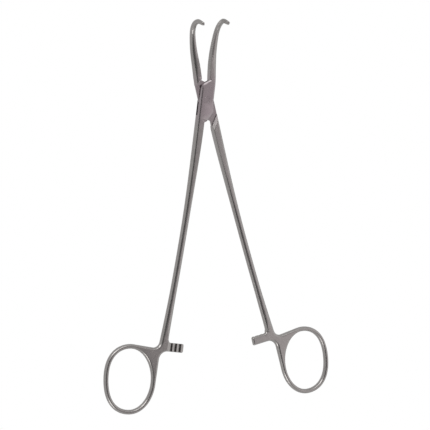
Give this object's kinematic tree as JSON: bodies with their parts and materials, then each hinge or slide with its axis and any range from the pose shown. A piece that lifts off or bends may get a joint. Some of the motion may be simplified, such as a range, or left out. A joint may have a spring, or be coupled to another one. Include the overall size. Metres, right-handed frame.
{
  "type": "tonsil artery forceps",
  "caption": "Slender box-lock forceps with long bowed shanks, finger rings, ratchet bars and serrated jaws that hook up at right angles.",
  "frame": {"origin": "on the pivot axis, at the face of the box lock that the forceps lie on", "axes": "+Y along the forceps to the jaws, +X to the right as seen from above, +Z the way the jaws hook, up from the surface"},
  "size_m": [0.1198, 0.1849, 0.0192],
  "materials": {
    "box_lock_half": "satin",
    "tongue_half": "satin",
    "joint_rivet": "satin"
  },
  "bodies": {
    "box_half": {"box_lock_half": "box_lock_half", "joint_rivet": "joint_rivet"},
    "tongue_half": {"tongue_half": "tongue_half"}
  },
  "joints": [
    {"name": "box_lock_pivot", "type": "hinge", "parent": "box_half", "child": "tongue_half", "pos_m": [0, 0, 0], "axis": [0, 0, 1], "range_deg": [-18.95, 38.9]}
  ]
}
